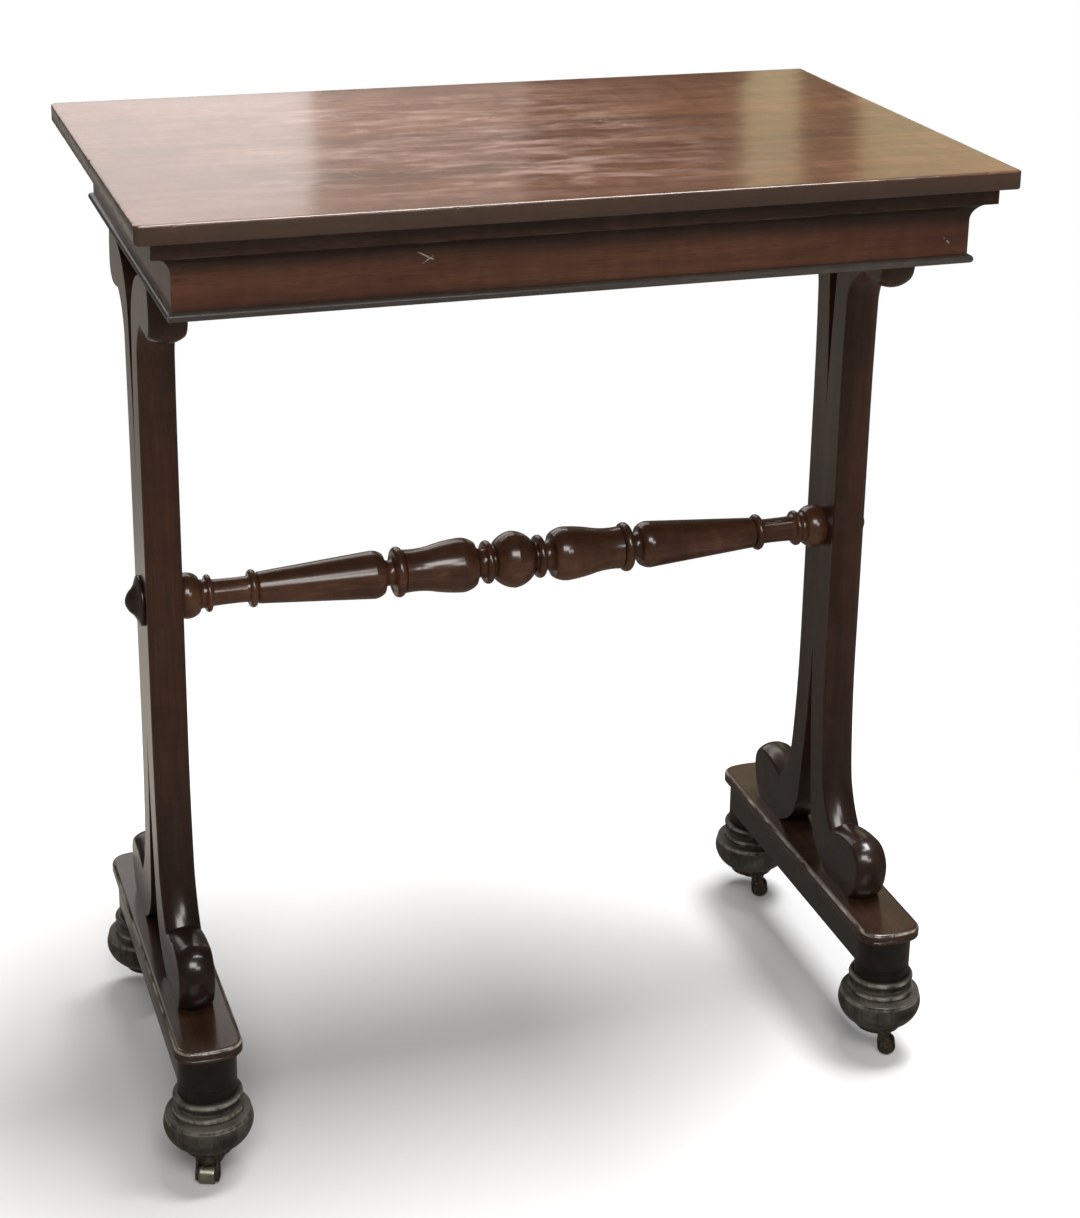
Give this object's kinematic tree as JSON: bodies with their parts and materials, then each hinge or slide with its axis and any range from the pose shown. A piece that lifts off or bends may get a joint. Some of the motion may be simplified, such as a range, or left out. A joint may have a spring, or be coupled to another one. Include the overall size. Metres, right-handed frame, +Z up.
{
  "type": "stretcher side table",
  "caption": "Rectangular side table with a coved frieze on pierced end supports with knobbed ends, joined by a turned stretcher, on platforms with bun feet and swivel castors.",
  "frame": {"origin": "on the floor under the middle of the top", "axes": "+Z up; X along the table's long side; the front faces -Y"},
  "size_m": [0.6, 0.372, 0.72],
  "materials": {
    "mahogany_top": "polished, mid brown, worn along its edges",
    "mahogany": "polished, dark red-brown",
    "secondary_wood": "plain, unpolished",
    "castor_brass": "dull, aged",
    "castor_wheel": "satin, worn pale by rolling",
    "steel_screw": "dull"
  },
  "bodies": {
    "table": {"bearer_left": "secondary_wood", "bearer_right": "secondary_wood", "boss_left": "mahogany", "boss_right": "mahogany", "castor_pin_back_left": "castor_brass", "castor_pin_back_right": "castor_brass", "castor_pin_front_left": "castor_brass", "castor_pin_front_right": "castor_brass", "castor_plate_back_left": "castor_brass", "castor_plate_back_right": "castor_brass", "castor_plate_front_left": "castor_brass", "castor_plate_front_right": "castor_brass", "castor_screws": "steel_screw", "corner_block_back_left": "secondary_wood", "corner_block_back_right": "secondary_wood", "corner_block_front_left": "secondary_wood", "corner_block_front_right": "secondary_wood", "foot_back_left": "mahogany", "foot_back_right": "mahogany", "foot_front_left": "mahogany", "foot_front_right": "mahogany", "frieze_back": "mahogany", "frieze_bead_back": "mahogany", "frieze_bead_front": "mahogany", "frieze_bead_left": "mahogany", "frieze_bead_right": "mahogany", "frieze_front": "mahogany", "frieze_left": "mahogany", "frieze_right": "mahogany", "platform_left": "mahogany", "platform_right": "mahogany", "stretcher": "mahogany", "support_left": "mahogany", "support_right": "mahogany", "top_board": "mahogany_top", "top_fillet_back": "mahogany", "top_fillet_front": "mahogany", "top_fillet_left": "mahogany", "top_fillet_right": "mahogany", "top_screws": "steel_screw"},
    "castor_fork_front_left": {"castor_horn_front_left": "castor_brass", "castor_axle_front_left": "castor_brass"},
    "castor_roller_front_left": {"castor_wheel_front_left": "castor_wheel"},
    "castor_fork_front_right": {"castor_horn_front_right": "castor_brass", "castor_axle_front_right": "castor_brass"},
    "castor_roller_front_right": {"castor_wheel_front_right": "castor_wheel"},
    "castor_fork_back_left": {"castor_horn_back_left": "castor_brass", "castor_axle_back_left": "castor_brass"},
    "castor_roller_back_left": {"castor_wheel_back_left": "castor_wheel"},
    "castor_fork_back_right": {"castor_horn_back_right": "castor_brass", "castor_axle_back_right": "castor_brass"},
    "castor_roller_back_right": {"castor_wheel_back_right": "castor_wheel"}
  },
  "joints": [
    {"name": "castor_swivel_front_left", "type": "hinge", "parent": "table", "child": "castor_fork_front_left", "pos_m": [-0.264, -0.128, 0.0232], "axis": [0, 0, 1], "continuous": true},
    {"name": "castor_roll_front_left", "type": "hinge", "parent": "castor_fork_front_left", "child": "castor_roller_front_left", "pos_m": [-0.26713, -0.13536, 0.007], "axis": [0.9205, -0.3907, 0], "continuous": true},
    {"name": "castor_swivel_front_right", "type": "hinge", "parent": "table", "child": "castor_fork_front_right", "pos_m": [0.264, -0.128, 0.0232], "axis": [0, 0, 1], "continuous": true},
    {"name": "castor_roll_front_right", "type": "hinge", "parent": "castor_fork_front_right", "child": "castor_roller_front_right", "pos_m": [0.27131, -0.13125, 0.007], "axis": [0.4067, 0.9135, 0], "continuous": true},
    {"name": "castor_swivel_back_left", "type": "hinge", "parent": "table", "child": "castor_fork_back_left", "pos_m": [-0.264, 0.128, 0.0232], "axis": [0, 0, 1], "continuous": true},
    {"name": "castor_roll_back_left", "type": "hinge", "parent": "castor_fork_back_left", "child": "castor_roller_back_left", "pos_m": [-0.25631, 0.12579, 0.007], "axis": [0.2756, 0.9613, 0], "continuous": true},
    {"name": "castor_swivel_back_right", "type": "hinge", "parent": "table", "child": "castor_fork_back_right", "pos_m": [0.264, 0.128, 0.0232], "axis": [0, 0, 1], "continuous": true},
    {"name": "castor_roll_back_right", "type": "hinge", "parent": "castor_fork_back_right", "child": "castor_roller_back_right", "pos_m": [0.27152, 0.12526, 0.007], "axis": [0.342, 0.9397, 0], "continuous": true}
  ]
}
